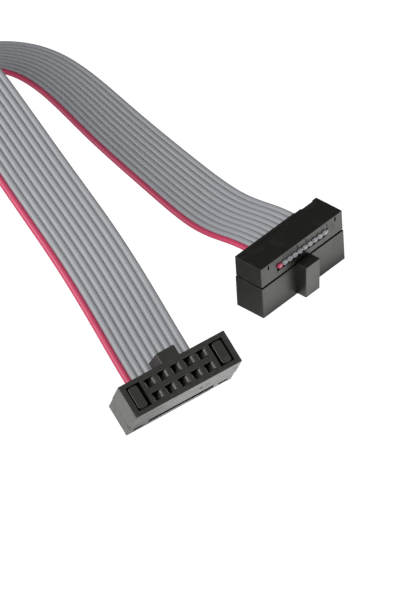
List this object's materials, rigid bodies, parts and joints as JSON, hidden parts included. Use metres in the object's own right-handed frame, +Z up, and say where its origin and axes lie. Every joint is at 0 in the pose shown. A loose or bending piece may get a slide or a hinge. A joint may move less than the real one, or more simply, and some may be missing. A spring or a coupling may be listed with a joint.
{
  "type": "ribbon cable",
  "caption": "Grey flat ribbon cable with a red edge wire and a black keyed two-row socket connector on each end, looping over itself from one to the other.",
  "frame": {"origin": "centre of the standing socket's mating face, on the surface that the part stands on", "axes": "+X along the standing socket's rows from the red edge wire to the grey edge, +Y to the side where the ribbon leaves that socket, +Z up from its mating face to its cover"},
  "size_m": [0.0609, 0.1392, 0.0478],
  "materials": {
    "grey_pvc": "satin extruded PVC, ridged by the wires inside",
    "red_pvc": "satin extruded PVC, crimson marking of the first wire",
    "copper_strands": "tinned copper, stranded",
    "black_plastic": "black moulded thermoplastic, low gloss",
    "tinned_bronze": "bright tin-plated spring bronze strip"
  },
  "bodies": {
    "root": {"grey_insulation": "grey_pvc", "red_edge_insulation": "red_pvc", "conductor_1": "copper_strands", "conductor_2": "copper_strands", "conductor_3": "copper_strands", "conductor_4": "copper_strands", "conductor_5": "copper_strands", "conductor_6": "copper_strands", "conductor_7": "copper_strands", "conductor_8": "copper_strands", "conductor_9": "copper_strands", "conductor_10": "copper_strands", "socket_body_a": "black_plastic", "socket_cover_a": "black_plastic", "socket_body_b": "black_plastic", "socket_cover_b": "black_plastic", "contact_a_1": "tinned_bronze", "contact_a_2": "tinned_bronze", "contact_a_3": "tinned_bronze", "contact_a_4": "tinned_bronze", "contact_a_5": "tinned_bronze", "contact_a_6": "tinned_bronze", "contact_a_7": "tinned_bronze", "contact_a_8": "tinned_bronze", "contact_a_9": "tinned_bronze", "contact_a_10": "tinned_bronze", "contact_b_1": "tinned_bronze", "contact_b_2": "tinned_bronze", "contact_b_3": "tinned_bronze", "contact_b_4": "tinned_bronze", "contact_b_5": "tinned_bronze", "contact_b_6": "tinned_bronze", "contact_b_7": "tinned_bronze", "contact_b_8": "tinned_bronze", "contact_b_9": "tinned_bronze", "contact_b_10": "tinned_bronze"}
  },
  "joints": []
}
